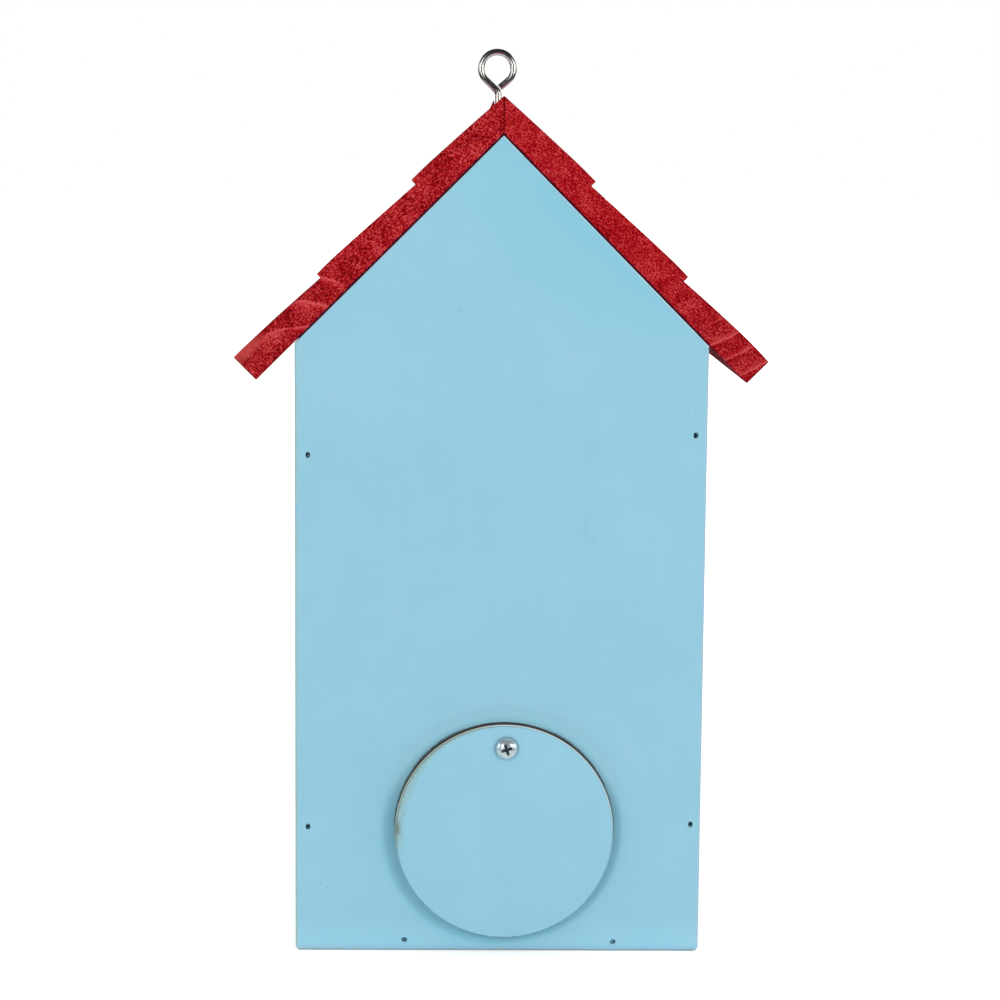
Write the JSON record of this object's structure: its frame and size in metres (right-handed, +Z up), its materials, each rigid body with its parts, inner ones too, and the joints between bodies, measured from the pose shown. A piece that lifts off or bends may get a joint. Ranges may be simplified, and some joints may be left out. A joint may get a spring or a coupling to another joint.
{
  "type": "hanging birdhouse",
  "caption": "Tall gabled wooden birdhouse with a stepped plank roof, a screw eye at the ridge, an entrance hole and perch in front, and a round swivel hatch at the back.",
  "frame": {"origin": "centre of the body's footprint, on the plane its underside stands on (the roof reaches further forward than back, so this is not the centre of the whole footprint)", "axes": "+Z up to the ridge; -Y out of the front, where the entrance hole is; +Y out of the back, where the hatch is; +X to the right as seen from the front"},
  "size_m": [0.1675, 0.1487, 0.29],
  "materials": {
    "blue_paint": "smooth matt pale blue paint on wood",
    "red_stain": "deep red wood stain, grain showing, matt",
    "hatch_plywood": "thin plywood, blue paint on the face, laser-burnt dark brown edge",
    "hatch_screw_steel": "zinc plated",
    "eye_steel": "bright zinc plated wire",
    "brad_steel": "galvanised"
  },
  "bodies": {
    "house": {"back_panel": "blue_paint", "front_panel": "blue_paint", "left_side_wall": "blue_paint", "right_side_wall": "blue_paint", "floor_board": "blue_paint", "roof_board_left": "red_stain", "roof_board_right": "red_stain", "hatch_screw": "hatch_screw_steel", "eye_screw": "eye_steel", "perch_dowel": "blue_paint", "rear_brads": "brad_steel", "front_brads": "brad_steel", "roof_brads_left": "brad_steel", "roof_brads_right": "brad_steel"},
    "hatch": {"hatch_disc": "hatch_plywood"}
  },
  "joints": [
    {"name": "hatch_swing", "type": "hinge", "parent": "house", "child": "hatch", "pos_m": [-0.0025, 0.0582, 0.0678], "axis": [0, 1, 0], "continuous": true}
  ]
}
